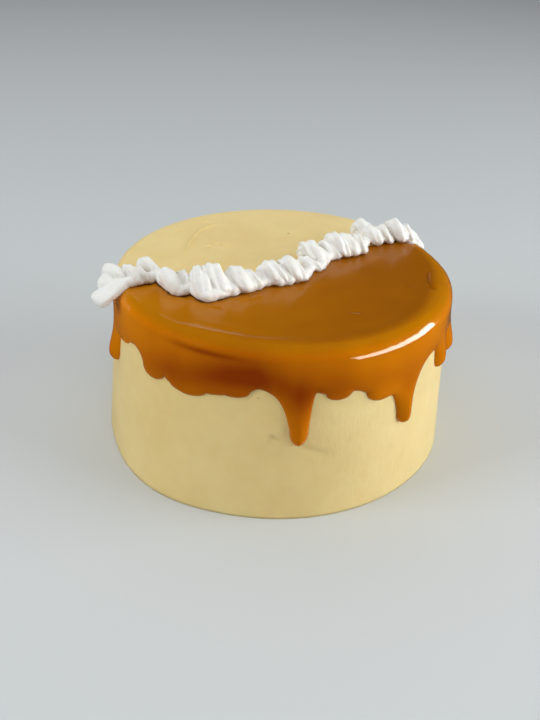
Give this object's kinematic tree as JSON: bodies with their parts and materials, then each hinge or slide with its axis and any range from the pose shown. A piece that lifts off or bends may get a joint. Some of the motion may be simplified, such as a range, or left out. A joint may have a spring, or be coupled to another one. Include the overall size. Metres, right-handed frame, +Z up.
{
  "type": "salted caramel cake",
  "caption": "Tall round cake in smooth pale buttercream, with caramel glaze poured over its front and down the side in drips, and a piped cream border across the top.",
  "frame": {"origin": "middle of the flat base that the cake rests on", "axes": "+Z up, +Y towards the plain back of the cake, away from its glazed front, +X to the right"},
  "size_m": [0.1994, 0.202, 0.1166],
  "materials": {
    "buttercream": "smooth pale yellow buttercream, scraped by hand, soft matt",
    "caramel": "thick golden brown caramel, smooth and glossy",
    "cream": "white whipped cream, soft matt"
  },
  "bodies": {
    "root": {"cake": "buttercream", "caramel_glaze": "caramel", "piped_cream": "cream"}
  },
  "joints": []
}
